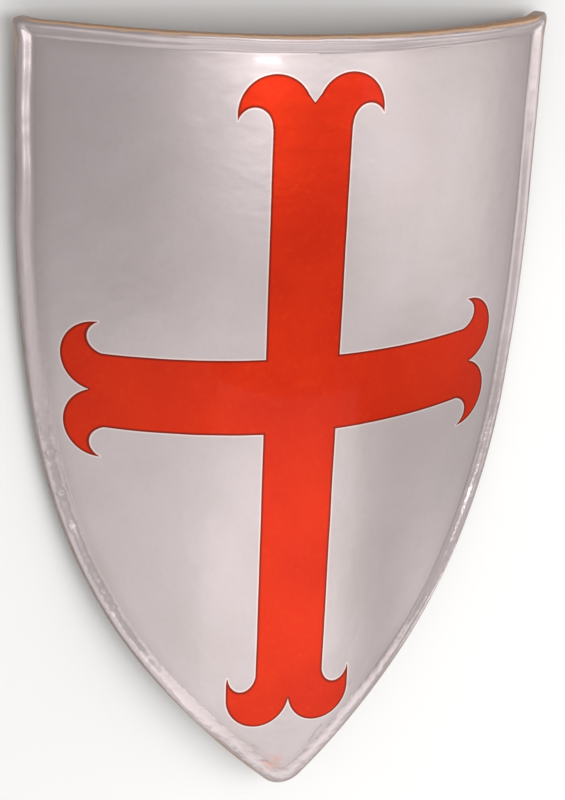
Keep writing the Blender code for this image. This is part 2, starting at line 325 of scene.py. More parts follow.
def whole_edge():
    """The edge all round, clockwise seen from the front, from the crown."""
    outer, inner = half_edge()
    flip = np.array((-1.0, 1.0))
    left_outer, left_inner = outer[-2:0:-1] * flip, inner[-2:0:-1] * flip
    over = np.maximum(0, left_outer[:, 1] - top_edge_height(HALF_WIDTH) + EAR_RADIUS / 2)
    left_outer[:, 1] -= (1 - LEFT_EAR_SHARE) * over
    outer = np.concatenate((outer, left_outer))
    inner = np.concatenate((inner, left_inner))
    for _ in range(CORNER_SMOOTHING):
        for points in (outer, inner):
            zone = np.abs(points[:, 0]) > HALF_WIDTH - CORNER_ZONE
            zone &= points[:, 1] > -CORNER_ZONE
            mean = (np.roll(points, 1, 0) + 2 * points + np.roll(points, -1, 0)) / 4
            points[zone] = mean[zone]
    return outer, inner


def way_along(points):
    """The way from the first point along a line of points to each of them."""
    return np.concatenate(([0], np.cumsum(np.linalg.norm(np.diff(points, axis=0), axis=1))))


def edging_section():
    """Section of the edging as rows of depth in from the edge, height over the face, and fold: the
    way along the skin from the outermost line, positive over the front and negative behind."""
    back_in = -(BOARD_THICKNESS + SKIN_GAP)
    back_out = back_in - BACK_WALL

    # From the lip on the back round to the outermost line, and up over the nose
    lip = [(BACK_BAND_WIDTH, back_out + BACK_LIP)]
    back = [(BACK_BAND_WIDTH - k, back_out)
            for k in np.linspace(BACK_LIP_ROUND, BACK_BAND_WIDTH - BACK_ROUND, BACK_POINTS)]
    back_round = [(BACK_ROUND * (1 - math.sin(a)), back_out + BACK_ROUND * (1 - math.cos(a)))
                  for a in np.linspace(0, math.pi / 2, BACK_ROUND_POINTS)[1:]]
    wall = [(0.0, n) for n in np.linspace(back_out + BACK_ROUND, NOSE_START, WALL_POINTS)[1:]]
    rise = CREST_HEIGHT - NOSE_START
    nose = [(CREST_DEPTH * (1 - math.cos(a)), NOSE_START + rise * math.sin(a))
            for a in np.linspace(0, math.pi / 2, NOSE_POINTS)[1:]]

    # The slope down to the face is round at its top and its foot
    along = np.linspace(0, 1, SLOPE_POINTS)
    fall = np.minimum(1, np.minimum(along, 1 - along) / SLOPE_ROUNDING)
    drop = np.concatenate(([0], np.cumsum(fall[1:] + fall[:-1])))
    slope_depth = CREST_DEPTH + along * (SLOPE_END - CREST_DEPTH)
    slope_height = CREST_HEIGHT - (CREST_HEIGHT - LAP * 2) * drop / drop[-1]
    slope = list(zip(slope_depth[1:], slope_height[1:])) + [(BAND_WIDTH, LAP * 2)]
    outside = lip + back + back_round + wall
    skin = np.array(outside + nose + slope)
    run = way_along(skin)
    fold = run - run[len(outside) - 1]
    hidden = [(BAND_WIDTH, LAP), (EDGING_WALL, LAP),
              (EDGING_WALL, back_in), (BACK_BAND_WIDTH, back_in)]
    rows = [(d, n, f) for (d, n), f in zip(skin, fold)]
    rows += [(d, n, fold[-1]) for d, n in hidden[:2]] + [(d, n, fold[0]) for d, n in hidden[2:]]
    return np.array(rows)


def new_piece(name, points, faces, sheet, materials, body="root", face_materials=None):
    """A mesh piece from arrays. sheet is kept on its points as (s, y, fold) for its materials."""
    mesh = bpy.data.meshes.new(name)
    mesh.from_pydata(points.tolist(), [], faces)
    for material in materials:
        mesh.materials.append(material)
    if face_materials is not None:
        mesh.polygons.foreach_set("material_index", face_materials)
    attribute = mesh.attributes.new("sheet", "FLOAT_VECTOR", "POINT")
    attribute.data.foreach_set("vector", np.asarray(sheet, np.float32).ravel())
    mesh.validate()
    mesh.shade_smooth()
    mesh.set_sharp_from_angle(angle=SHARP_FROM)
    piece = bpy.data.objects.new(name, mesh)
    bpy.context.scene.collection.objects.link(piece)
    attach(piece, body)
    return piece


def loop_faces(rows, count, closed_rows, flip=False):
    """Quads between rows of points that each run round a closed loop of count points."""
    faces = []
    last = rows if closed_rows else rows - 1
    for r in range(last):
        here, there = r * count, ((r + 1) % rows) * count
        for i in range(count):
            j = (i + 1) % count
            quad = (here + i, here + j, there + j, there + i)
            faces.append(quad[::-1] if flip else quad)
    return faces


def build_edging(materials):
    outer, inner = whole_edge()
    count = len(outer)
    way = way_along(outer)
    depth, height, fold = edging_section().T

    # The roll is not quite even, and is gathered in small pleats along the lower curves
    crest = HAND_ROLLED * (wander(way, *SWELLS) + RIPPLE_SHARE * wander(way, *RIPPLES))
    width = WIDTH_CHANGE * wander(way, *WIDTHS)
    low = smoothstep(-outer[:, 1], *PLEATS_START) * smoothstep(outer[:, 1], *PLEATS_END)
    gathered = smoothstep(wander(way, *GATHERS), *GATHERS_EASE)
    pleat = np.maximum(0, wander(way, *PLEATS)) * (PLEATS_ELSEWHERE + low * gathered)
    over = np.clip(fold / fold.max(), 0, 1)
    front = (np.sin(math.pi * over) ** FRONT_FULLNESS * (height > 0))[:, None]

    # It gets lower and lower on the way to the tip
    flat = 1 - TIP_FLATTENING * smoothstep(-outer[:, 1], *TIP_FLATTENS)
    height = np.where(height[:, None] > 0, height[:, None] * flat[None, :], height[:, None])

    share = depth[:, None] / BAND_WIDTH
    shift = width[None, :] * front / BAND_WIDTH
    s = outer[None, :, 0] + (share + shift) * (inner - outer)[None, :, 0]
    y = outer[None, :, 1] + (share + shift) * (inner - outer)[None, :, 1]
    n = height + front * flat * (crest[None, :] + PLEAT_HEIGHT * pleat[None, :])
    points = bend(s, y, n).reshape(-1, 3)
    sheet = np.stack((s, y, np.broadcast_to(fold[:, None], s.shape)), -1).reshape(-1, 3)
    faces = loop_faces(len(depth), count, True)
    bare = (fold < BARE_FROM) & (np.roll(fold, -1) < BARE_FROM)
    edging = new_piece("rolled_edging", points, faces, sheet, materials,
                       face_materials=np.repeat(bare, count).astype(np.int32))
    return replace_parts(edging, "rim_binding")


def edge_width(y, depth):
    """Half the width of the shield at a height, less a depth."""
    outer, inner = half_edge()
    points = outer + (inner - outer) * depth / BAND_WIDTH
    side = points[points[:, 1] < -BAND_WIDTH]
    return np.interp(-y, -side[:, 1], side[:, 0])


def build_board(materials):
    """The board as a grid, painted in front, with a wooden back and a wall between them."""
    inset = EDGING_WALL + SKIN_GAP
    along = np.linspace(0, 1, BOARD_ROWS)
    top = -inset
    bottom = inset - HEIGHT
    down = top + (bottom - top) * (1 - (1 - along) ** ROW_SPREAD)

    # The side is known from just below the corner to just above the tip
    half = edge_width(np.minimum(down, -BAND_WIDTH - BELOW_CORNER), inset)
    half[-1] = edge_width(np.array([bottom + ABOVE_TIP]), inset)[0]
    across = np.linspace(-1, 1, BOARD_COLUMNS)
    s = half[:, None] * across[None, :]
    y = down[:, None] + top_edge_height(s) * (1 - smoothstep(along, 0, ARCH_FADE))[:, None]
    side_depth = (half[:, None] + inset - np.abs(s)) * SIDE_DEPTH_SHARE
    fold = np.minimum(top_edge_height(s) - y, side_depth) + FOLD_OVER_DEPTH
    front = bend(s, y, 0.0).reshape(-1, 3)
    back = bend(s, y, -BOARD_THICKNESS).reshape(-1, 3)
    sheet = np.stack((s, y, fold), -1).reshape(-1, 3)
    size = BOARD_ROWS * BOARD_COLUMNS

    # Faces of kind 0 are painted and those of kind 1 are wood
    faces, kinds = [], []
    for r in range(BOARD_ROWS - 1):
        for c in range(BOARD_COLUMNS - 1):
            a = r * BOARD_COLUMNS + c
            b = a + BOARD_COLUMNS
            faces.append((a, b, b + 1, a + 1))
            faces.append((a + 1 + size, b + 1 + size, b + size, a + size))
            kinds += [0, 1]
    ring = list(range(BOARD_COLUMNS))
    ring += [r * BOARD_COLUMNS + BOARD_COLUMNS - 1 for r in range(1, BOARD_ROWS)]
    ring += [(BOARD_ROWS - 1) * BOARD_COLUMNS + c for c in range(BOARD_COLUMNS - 2, -1, -1)]
    ring += [r * BOARD_COLUMNS for r in range(BOARD_ROWS - 2, 0, -1)]
    for i, a in enumerate(ring):
        b = ring[(i + 1) % len(ring)]
        faces.append((a, b, b + size, a + size))
        kinds.append(1)
    board = new_piece("painted_board", np.concatenate((front, back)), faces,
                      np.concatenate((sheet, sheet)), materials, face_materials=kinds)
    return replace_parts(board, "board")


def strap_line(strap):
    """Points (y, height off the board) along a strap's inner face and its half width there."""
    half_loop = strap["loop"] / 2
    tab = np.arange(0, TAB_LENGTH, STRAP_STEP)
    inset = np.linspace(0, 1, len(tab)) * TAB_LENGTH
    round_end = np.sin(np.clip(inset / TAB_ROUND, 0, 1) * math.pi / 2) ** TAB_FULLNESS
    share = TAB_END_SHARE + (1 - TAB_END_SHARE) * round_end
    along = np.linspace(0, 1, LOOP_POINTS)
    lift = strap["rise"] * (0.5 - 0.5 * np.cos(2 * math.pi * along)) ** LOOP_FULLNESS
    y = np.concatenate((half_loop + TAB_LENGTH - inset[:-1], half_loop * (1 - 2 * along),
                        -(half_loop + TAB_LENGTH - inset[:-1])[::-1]))
    lift = np.pad(lift, len(inset) - 1)
    share = np.concatenate((share[:-1], np.ones(LOOP_POINTS), share[:-1][::-1]))
    return strap["middle"] + y, lift, share * strap["width"] / 2


def strap_section(half):
    """Section of a strap as (across, share of the thickness), with a crease along each edge."""
    flat = np.linspace(-1, 1, STRAP_POINTS) * (half - STRAP_EDGE_ROUND)
    crease = np.exp(-((np.abs(flat) - (half - CREASE_INSET)) / CREASE_WIDTH) ** 2)
    crown = STRAP_CROWN * (1 - (flat / half) ** 2)
    outside = np.stack((flat, STRAP_FACE + crown - crease * CREASE_DEPTH / STRAP_THICKNESS), 1)
    turn = np.linspace(0, math.pi, STRAP_SIDE_POINTS)[1:-1]
    rounding = np.stack((half - STRAP_EDGE_ROUND + STRAP_EDGE_ROUND * np.sin(turn),
                         0.5 + (STRAP_FACE - 0.5) * np.cos(turn)), 1)
    inside = np.stack((flat[::-1], np.zeros(STRAP_POINTS)), 1)
    left = rounding[::-1] * np.array((-1.0, 1.0))
    return np.concatenate((outside, rounding, inside, left))


def build_strap(strap, material):
    y, lift, half = strap_line(strap)
    slope = np.stack((np.gradient(y), np.gradient(lift)), 1)
    slope /= np.linalg.norm(slope, axis=1)[:, None]
    out = np.stack((slope[:, 1], -slope[:, 0]), 1)
    way = way_along(np.stack((y, lift), 1))
    rows = []
    for k in range(len(y)):
        section = strap_section(half[k])
        end = min(k, len(y) - 1 - k)
        thick = STRAP_THICKNESS * (SKIVED_END + (1 - SKIVED_END) * min(1, end / 2))
        places = [(a * CRUMPLE_ACROSS, way[k] * CRUMPLE_ALONG, strap["rise"] * CRUMPLE_SEED)
                  for a in section[:, 0]]
        crumple = CRUMPLE * np.array([noise.noise(Vector(place)) for place in places])
        reach = section[:, 1] * thick + np.where(section[:, 1] > 0.5, crumple, 0)
        s = strap["across"] + section[:, 0]
        rows.append(np.stack((s, y[k] + out[k, 0] * reach,
                              -(BOARD_THICKNESS + SKIN_GAP + lift[k] + out[k, 1] * reach)), 1))
    flat = np.concatenate(rows)
    count = len(rows[0])
    points = bend(flat[:, 0], flat[:, 1], flat[:, 2])
    aside = flat[:, 0] - strap["across"]
    sheet = np.stack((aside, np.repeat(way, count), np.repeat(half, count) - np.abs(aside)), 1)
    faces = loop_faces(len(rows), count, False)
    faces.append(tuple(range(count))[::-1])
    faces.append(tuple(range((len(rows) - 1) * count, len(rows) * count)))
    piece = new_piece(strap["name"] + "_leather", points, faces, sheet, [material])
    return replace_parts(piece, strap["name"])


def rivet_places():
    """Every rivet as (across, y), strap by strap, in the order of the frame's nodes."""
    places = []
    for strap in (ARM_STRAP, HAND_STRAP):
        for end in (1, -1):
            for inset in RIVET_INSETS:
                reach = strap["loop"] / 2 + TAB_LENGTH - inset
                places.append((strap["across"], strap["middle"] + end * reach))
    return places


def build_rivets(material):
    """Domed heads with a few flats from the hammer, each on a short shank."""
    dome = np.linspace(0.0, math.pi / 2, RIVET_RINGS + 1)[1:]
    radii = np.concatenate((
        RIVET_HEAD_RADIUS * np.sin(dome) ** RIVET_FULLNESS,
        [RIVET_HEAD_RADIUS * RIVET_FOOT_SHARE, RIVET_SHANK_RADIUS, RIVET_SHANK_RADIUS]))
    heights = np.concatenate((RIVET_HEAD_HEIGHT * np.cos(dome) + RIVET_RIM,
                              [0.0, 0.0, -RIVET_SHANK_DEPTH]))
    angle = np.arange(RIVET_SIDES) * 2 * math.pi / RIVET_SIDES
    base = BOARD_THICKNESS + 2 * SKIN_GAP + STRAP_THICKNESS
    across = radii[:, None] * np.cos(angle)[None, :]
    up = radii[:, None] * np.sin(angle)[None, :]

    # The faces run from the apex over the rings of points to the end of the shank
    last, end = 1 + (len(radii) - 1) * RIVET_SIDES, 1 + len(radii) * RIVET_SIDES
    faces = [(0, 1 + i, 1 + (i + 1) % RIVET_SIDES) for i in range(RIVET_SIDES)]
    faces += [tuple(1 + v for v in f) for f in loop_faces(len(radii), RIVET_SIDES, False, True)]
    faces += [(end, last + (i + 1) % RIVET_SIDES, last + i) for i in range(RIVET_SIDES)]
    for number, (s, y) in enumerate(rivet_places(), start=1):
        dent = np.array([
            [noise.noise(Vector((a * HAMMER_PITCH, b * HAMMER_PITCH, number * HAMMER_SEED)))
             for a, b in zip(row_a, row_b)] for row_a, row_b in zip(across, up)])
        high = heights[:, None] + HAMMER_DENT * dent * (heights[:, None] > 0)
        flat = np.concatenate(([(0.0, 0.0, heights[0] + RIVET_APEX)],
                               np.stack((across, up, high), -1).reshape(-1, 3),
                               [(0.0, 0.0, heights[-1])]))

        # A rivet isn't bent, but stands square to the board at its middle
        turn = s / BEND_RADIUS
        out = BEND_RADIUS - base - flat[:, 2]
        x = out * math.sin(turn) + flat[:, 0] * math.cos(turn)
        z = out * math.cos(turn) - flat[:, 0] * math.sin(turn) - BEND_RADIUS
        points = lay_down(np.stack((x, y + flat[:, 1], z), 1))
        sheet = flat + np.array((number * RIVET_SHEET_STEP, 0, 0))
        rivet = new_piece(f"rivet_{number}", points, faces, sheet, [material])
        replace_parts(rivet, f"strap_rivet_{number}")


class Graph:
    """Short ways to add nodes to one material."""

    def __init__(self, name):
        self.material = bpy.data.materials.new(name)
        self.material.use_nodes = True
        self.tree = self.material.node_tree
        self.shader = self.tree.nodes["Principled BSDF"]

    def link(self, value, socket):
        """Join an output to a socket, or set the socket to a plain value."""
        if hasattr(value, "is_output"):
            self.tree.links.new(value, socket)
        else:
            socket.default_value = value

    def math(self, operation, *values):
        node = self.tree.nodes.new("ShaderNodeMath")
        node.operation = operation
        for value, socket in zip(values, node.inputs):
            self.link(value, socket)
        return node.outputs[0]

    def sheet(self):
        """The point's own s, y and fold, as a vector and one by one."""
        attribute = self.tree.nodes.new("ShaderNodeAttribute")
        attribute.attribute_name = "sheet"
        split = self.tree.nodes.new("ShaderNodeSeparateXYZ")
        self.tree.links.new(attribute.outputs["Vector"], split.inputs[0])
        return attribute.outputs["Vector"], *split.outputs

    def vector(self, x, y):
        node = self.tree.nodes.new("ShaderNodeCombineXYZ")
        for value, socket in zip((x, y), node.inputs):
            self.link(value, socket)
        return node.outputs[0]

    def scale(self, vector, factors):
        node = self.tree.nodes.new("ShaderNodeVectorMath")
        node.operation = "MULTIPLY"
        self.link(vector, node.inputs[0])
        node.inputs[1].default_value = factors
        return node.outputs[0]

    def distance(self, vector, place):
        node = self.tree.nodes.new("ShaderNodeVectorMath")
        node.operation = "DISTANCE"
        self.link(vector, node.inputs[0])
        node.inputs[1].default_value = place
        return node.outputs["Value"]

    def noise(self, vector, scale, detail, roughness=0.5, distortion=0.0):
        node = self.tree.nodes.new("ShaderNodeTexNoise")
        self.link(vector, node.inputs["Vector"])
        node.inputs["Scale"].default_value = scale
        node.inputs["Detail"].default_value = detail
        node.inputs["Roughness"].default_value = roughness
        node.inputs["Distortion"].default_value = distortion
        return node.outputs[0]

    def voronoi(self, vector, scale):
        node = self.tree.nodes.new("ShaderNodeTexVoronoi")
        self.link(vector, node.inputs["Vector"])
        node.inputs["Scale"].default_value = scale
        return node.outputs["Distance"]

    def step(self, value, low, high, start=0.0, end=1.0):
        """Eased change from start to end as value goes from low to high."""
        node = self.tree.nodes.new("ShaderNodeMapRange")
        node.interpolation_type = "SMOOTHSTEP"
        for wanted, socket in zip((value, low, high, start, end), node.inputs):
            self.link(wanted, socket)
        return node.outputs[0]

    def mix(self, share, first, second):
        """Colour from first to second, by a share from 0 to 1."""
        node = self.tree.nodes.new("ShaderNodeMix")
        node.data_type = "RGBA"
        self.link(share, node.inputs[0])
        for value, socket in ((first, node.inputs[6]), (second, node.inputs[7])):
            self.link(value, socket)
        return node.outputs[2]

    def bump(self, height, strength, distance, normal=None):
        node = self.tree.nodes.new("ShaderNodeBump")
        self.link(height, node.inputs["Height"])
        node.inputs["Strength"].default_value = strength
        node.inputs["Distance"].default_value = distance
        if normal is not None:
            self.link(normal, node.inputs["Normal"])
        return node.outputs[0]

    def finish(self, colour, roughness, normal=None, **uniform):
        """The material, with further values of its shader named with _ for each space."""
        self.link(colour, self.shader.inputs["Base Color"])
        self.link(roughness, self.shader.inputs["Roughness"])
        if normal is not None:
            self.link(normal, self.shader.inputs["Normal"])
        for name, value in uniform.items():
            self.shader.inputs[name.replace("_", " ")].default_value = value
        return self.material


def rgb(red, green, blue):
    """A colour seen as red, green and blue from 0 to 255, in linear light."""
    def linear(value):
        share = value / 255
        return share / 12.92 if share <= 0.04045 else ((share + 0.055) / 1.055) ** 2.4
    return linear(red), linear(green), linear(blue), 1.0


# Painted cross. Its bars narrow outwards, the upright leans a little and the arms sag with the
# curve. Each end has two hooks: a hook is what an upright oval bite leaves of a round lobe, which
# runs on straight for the length of its horn. Places are (off the bar's middle, out along the bar)
ARM_LEVEL = -0.3395
ARM_SAG = 0.25
ARM_SHIFT = 0.0027
ARM_HALF = 0.0380
ARM_TAPER = 0.010
UPRIGHT_SHIFT = -0.0018
UPRIGHT_LEAN = -0.0060
UPRIGHT_HALF = 0.0392
UPRIGHT_TAPER = 0.0052
TOP_END = {"lobe": (0.0370, -0.0680), "round": 0.0347, "horn": 0.005,
           "bite": (0.0562, -0.0821), "hollow": 0.0170, "oval": 0.89,
           "notch": -0.0600, "left_larger": 0.0006, "left_in": 0.0013}
FOOT_END = {"lobe": (0.0328, 0.6586), "round": 0.0332, "horn": 0.016,
            "bite": (0.0503, 0.6322), "hollow": 0.0146, "oval": 0.77,
            "notch": 0.6630, "left_larger": 0.0, "left_in": 0.0006}
ARM_END = {"lobe": (0.0325, 0.1926), "round": 0.0335, "horn": 0.002,
           "bite": (0.0515, 0.1813), "hollow": 0.0162, "oval": 0.81,
           "notch": 0.2010, "left_larger": 0.0, "left_in": 0.0016}
HOOK_THIN = 0.0004
NOTCH_SLOPE = 1.27
NOTCH_DEPTH = 0.0076
BRUSH_WOBBLE = 0.0007
CROSS_LINE = 0.0013
CROSS_HALO = 0.0019
CROSS_SOFTNESS = 0.00022

# Colours
FIELD = rgb(185, 173, 174)
FIELD_DUSTY = rgb(178, 167, 166)
FIELD_SPECK = rgb(158, 148, 146)
# painted shade, for the groove inside the edging and for the creases near the tip
FIELD_SHADE = rgb(140, 128, 124)
FIELD_HALO = rgb(222, 202, 196)
RED = rgb(197, 40, 3)
RED_DEEP = rgb(187, 33, 3)
RED_BRIGHT = rgb(212, 68, 6)
RED_LINE = rgb(124, 26, 6)
RIM_DIRT = rgb(128, 112, 102)
HIDE_WORN = rgb(204, 168, 140)
HIDE_SIDE = rgb(150, 130, 114)
# painted shade on the wall of the edging's outer turn, less dark along the top
HIDE_WALL_SHADE = rgb(96, 74, 60)
HIDE_WALL_SHADE_TOP = rgb(166, 130, 102)
HIDE_BACK = rgb(140, 104, 72)
EAR_PAINT = rgb(166, 150, 144)
HIDE_BACK_DARK = rgb(122, 84, 52)
HIDE_PORE = rgb(84, 56, 36)
STAIN = rgb(196, 140, 122)
WOOD_PALE = rgb(172, 132, 90)
WOOD_DARK = rgb(134, 94, 58)
WOOD_FIBRE = rgb(92, 60, 36)
WOOD_STAIN = rgb(108, 76, 50)
LEATHER = rgb(96, 58, 34)
LEATHER_DARK = rgb(66, 38, 22)
LEATHER_RUBBED = rgb(140, 96, 62)
LEATHER_CREASE = rgb(42, 24, 14)
IRON = rgb(112, 108, 104)
RUST = rgb(98, 62, 42)
FLOOR = rgb(240, 239, 238)
FLOOR_DIM = rgb(236, 235, 234)

# Marks of the paint, all near the tip: a stain, and creases from one place (s, y) to another,
# drawn only as lines of painted shade
STAIN_PLACE = (-0.012, -0.735)
STAIN_FLATNESS = 1.7
STAIN_EDGE = (0.022, 0.004)
CREASES = (((0.078, -0.652), (0.020, -0.728)), ((-0.048, -0.700), (-0.018, -0.722)),
           ((0.060, -0.690), (0.034, -0.722)))
CREASE_WAVER = 0.008
CREASE_EDGE = (0.0016, 0.0004)

# Where looks change. Each pair is where a change starts and ends, and what it is measured along is
# said first: the fold, y, or s without its sign
FOLD_GROOVE_OUTSIDE = (0.010, 0.017)
FOLD_GROOVE_INSIDE = (0.031, 0.018)
FOLD_DIRTY = (0.0054, 0.0026)
FOLD_WORN = (0.0038, 0.0014)
FOLD_OVER_EDGE = (0.0010, -0.0004)
FOLD_UNDER_EDGE = (-0.012, -0.008)
FOLD_EAR_PAINT = (-0.012, -0.006)
Y_TOP_EDGE = (-0.050, -0.012)
Y_EAR = (-0.016, -0.004)
S_EAR = (0.252, 0.262)
Y_CRINKLED = (-0.24, -0.38)
Y_GLOSSY = (-0.30, -0.42)

# How far the wear of the edging goes in, more by chance, along the top and on the right
WEAR_PATCHES = 0.0036
WEAR_ON_TOP = 0.0016
WEAR_ON_RIGHT = 0.0015

# Gloss of the paint, which is half metallic
SILVER = 0.5
FACE_ROUGHNESS = 0.285
FACE_GRIME = 0.03
RIM_ROUGHNESS = 0.265
LOW_RIM_ROUGHNESS = 0.20
WORN_ROUGHNESS = 0.35
CRINKLE = 4.0


def hook_tip(end, larger):
    """How far out along its bar a hook gets too thin to be painted."""
    angle = np.linspace(0, math.pi / 2, 200)
    aside = end["bite"][0] + end["hollow"] * np.cos(angle)
    out = end["bite"][1] + end["hollow"] / end["oval"] * np.sin(angle)
    inward = np.clip(end["lobe"][1] - out, 0, end["horn"])
    reach = np.hypot(aside - end["lobe"][0], out + inward - end["lobe"][1])
    return float(out[reach < end["round"] + larger - HOOK_THIN].min())


def end_distance(g, off, out, end):
    """Signed distance to one end of a bar, inside below 0. The hooks on its two sides differ a
    little: the left one may be larger and lie further in."""
    right = g.math("SIGN", off)
    out = g.math("MULTIPLY_ADD", right, -end["left_in"], out)
    aside = g.math("ABSOLUTE", off)
    inward = g.math("MAXIMUM", g.math("SUBTRACT", end["lobe"][1], out), 0.0)
    inward = g.math("MINIMUM", inward, end["horn"])
    round_to = g.math("MULTIPLY_ADD", right, -end["left_larger"], end["round"])
    place = g.vector(aside, g.math("ADD", out, inward))
    lobe = g.math("SUBTRACT", g.distance(place, (*end["lobe"], 0)), round_to)
    oval_place = g.vector(aside, g.math("MULTIPLY", out, end["oval"]))
    bite_place = (end["bite"][0], end["bite"][1] * end["oval"], 0)
    bite = g.math("SUBTRACT", end["hollow"], g.distance(oval_place, bite_place))
    level = g.math("SUBTRACT", end["bite"][1], out)
    shape = g.math("MAXIMUM", g.math("MAXIMUM", lobe, bite), level)
    tip, left_tip = hook_tip(end, -end["left_larger"]), hook_tip(end, end["left_larger"])
    tip_level = g.math("MULTIPLY_ADD", right, (tip - left_tip) / 2, (tip + left_tip) / 2)
    before_tip = g.math("SUBTRACT", tip_level, out)
    beyond = g.math("MINIMUM", before_tip, g.math("SUBTRACT", aside, end["bite"][0]))
    return g.math("MAXIMUM", shape, beyond)


def notch_distance(g, off, out, end):
    """Distance out from the notch between the two lobes, which is a small V until it meets them."""
    wall = g.math("MULTIPLY", g.math("ABSOLUTE", off), NOTCH_SLOPE)
    wall = g.math("MINIMUM", wall, NOTCH_DEPTH)
    return g.math("SUBTRACT", g.math("SUBTRACT", out, end["notch"]), wall)


def cross_distance(g, s, y):
    """Signed distance to the edge of the cross, inside below 0."""
    lean = g.math("MULTIPLY_ADD", y, UPRIGHT_LEAN, UPRIGHT_SHIFT)
    off = g.math("SUBTRACT", s, lean)
    half = g.math("MULTIPLY_ADD", y, UPRIGHT_TAPER, UPRIGHT_HALF)
    down = g.math("MULTIPLY", y, -1.0)
    upright = g.math("SUBTRACT", g.math("ABSOLUTE", off), half)
    for out, end in ((y, TOP_END), (down, FOOT_END)):
        upright = g.math("MAXIMUM", upright, notch_distance(g, off, out, end))
    sag = g.math("MULTIPLY_ADD", g.math("MULTIPLY", s, s), ARM_SAG, ARM_LEVEL)
    over = g.math("SUBTRACT", y, sag)
    reach = g.math("ABSOLUTE", g.math("ADD", s, ARM_SHIFT))
    arm_half = g.math("MULTIPLY_ADD", reach, -ARM_TAPER, ARM_HALF)
    arm = g.math("SUBTRACT", g.math("ABSOLUTE", over), arm_half)
    arm = g.math("MAXIMUM", arm, notch_distance(g, over, reach, ARM_END))
    distance = g.math("MINIMUM", upright, arm)
    for along, out, end in ((off, y, TOP_END), (off, down, FOOT_END), (over, reach, ARM_END)):
        distance = g.math("MINIMUM", distance, end_distance(g, along, out, end))
    return distance


def crease(g, sheet, s, y, start, end):
    """Share of a faint, broken line of painted shade along a crease, from start to end."""
    along = Vector((end[0] - start[0], end[1] - start[1]))
    length = along.length
    along.normalize()
    ds, dy = g.math("SUBTRACT", s, start[0]), g.math("SUBTRACT", y, start[1])
    run = g.math("ADD", g.math("MULTIPLY", ds, along.x), g.math("MULTIPLY", dy, along.y))
    off = g.math("ADD", g.math("MULTIPLY", ds, -along.y), g.math("MULTIPLY", dy, along.x))
    off = g.math("SUBTRACT", off, CREASE_WAVER / 2)
    off = g.math("ABSOLUTE", g.math("MULTIPLY_ADD", g.noise(sheet, 45, 2), CREASE_WAVER, off))
    ends = g.math("MULTIPLY", g.step(run, 0.0, length * 0.2), g.step(run, length, length * 0.8))
    within = g.math("MULTIPLY", g.step(off, *CREASE_EDGE), ends)
    broken = g.step(g.noise(sheet, 120, 2), 0.38, 0.6)
    return g.math("MULTIPLY", within, g.math("MULTIPLY", broken, 0.5))


def ear_share(g, s, y):
    """1 on the ears at the top corners, 0 elsewhere."""
    return g.math("MULTIPLY", g.step(g.math("ABSOLUTE", s), *S_EAR), g.step(y, *Y_EAR))


def field_colour(g, sheet, s, y, fold, specks):
    """The pale paint, clouded and specked, with painted shade in the groove along the edging, and
    with its marks near the tip: a stain, and creases drawn as painted shade."""
    field = g.mix(g.step(g.noise(sheet, 7, 3), 0.35, 0.7), FIELD, FIELD_DUSTY)
    field = g.mix(g.math("MULTIPLY", g.step(specks, 0.45, 0.8), 0.12), field, FIELD_SPECK)
    # Painted shade: the groove inside the edging is darkened as if it lay in shade
    groove = g.math("MULTIPLY", g.step(fold, *FOLD_GROOVE_OUTSIDE),
                    g.step(fold, *FOLD_GROOVE_INSIDE))
    field = g.mix(g.math("MULTIPLY", groove, 0.18), field, FIELD_SHADE)
    flattened = g.scale(sheet, (1.0, STAIN_FLATNESS, 0.0))
    off = g.distance(flattened, (STAIN_PLACE[0], STAIN_PLACE[1] * STAIN_FLATNESS, 0.0))
    stain = g.math("MULTIPLY", g.step(off, *STAIN_EDGE), g.step(g.noise(sheet, 90, 2), 0.4, 0.62))
    field = g.mix(g.math("MULTIPLY", stain, 0.45), field, STAIN)
    # Painted shade: each crease is a darker line, with no relief under it
    for start, end in CREASES:
        field = g.mix(crease(g, sheet, s, y, start, end), field, FIELD_SHADE)
    return field


def with_cross(g, sheet, s, y, field, specks):
    """The pale paint with the red cross on it, its thin dark line and its thin pale edge."""
    wobble = g.math("SUBTRACT", g.noise(sheet, 22, 2), 0.5)
    distance = g.math("MULTIPLY_ADD", wobble, BRUSH_WOBBLE, cross_distance(g, s, y))
    halo = g.math("MULTIPLY", g.step(distance, CROSS_HALO, CROSS_HALO * 0.4), 0.75)
    field = g.mix(halo, field, FIELD_HALO)
    red = g.mix(g.step(g.noise(sheet, 9, 3), 0.3, 0.7), RED, RED_DEEP)
    red = g.mix(g.math("MULTIPLY", g.step(specks, 0.5, 0.85), 0.25), red, RED_BRIGHT)
    red = g.mix(g.step(distance, -CROSS_LINE * 2.2, -CROSS_LINE), red, RED_LINE)
    return g.mix(g.step(distance, CROSS_SOFTNESS, -CROSS_SOFTNESS), field, red)


def paint_normal(g, sheet, y, edging):
    """Slow swells and fine ripples of the paint, which is crinkled low on the edging."""
    ripple = g.math("SUBTRACT", g.noise(sheet, 110, 2), 0.5)
    crinkled = g.math("MULTIPLY", edging, g.step(y, *Y_CRINKLED))
    ripple = g.math("MULTIPLY", ripple, g.math("MULTIPLY_ADD", crinkled, CRINKLE, 1.0))
    return g.bump(g.noise(sheet, 26, 2), 0.12, 0.004, g.bump(ripple, 0.06, 0.0012))


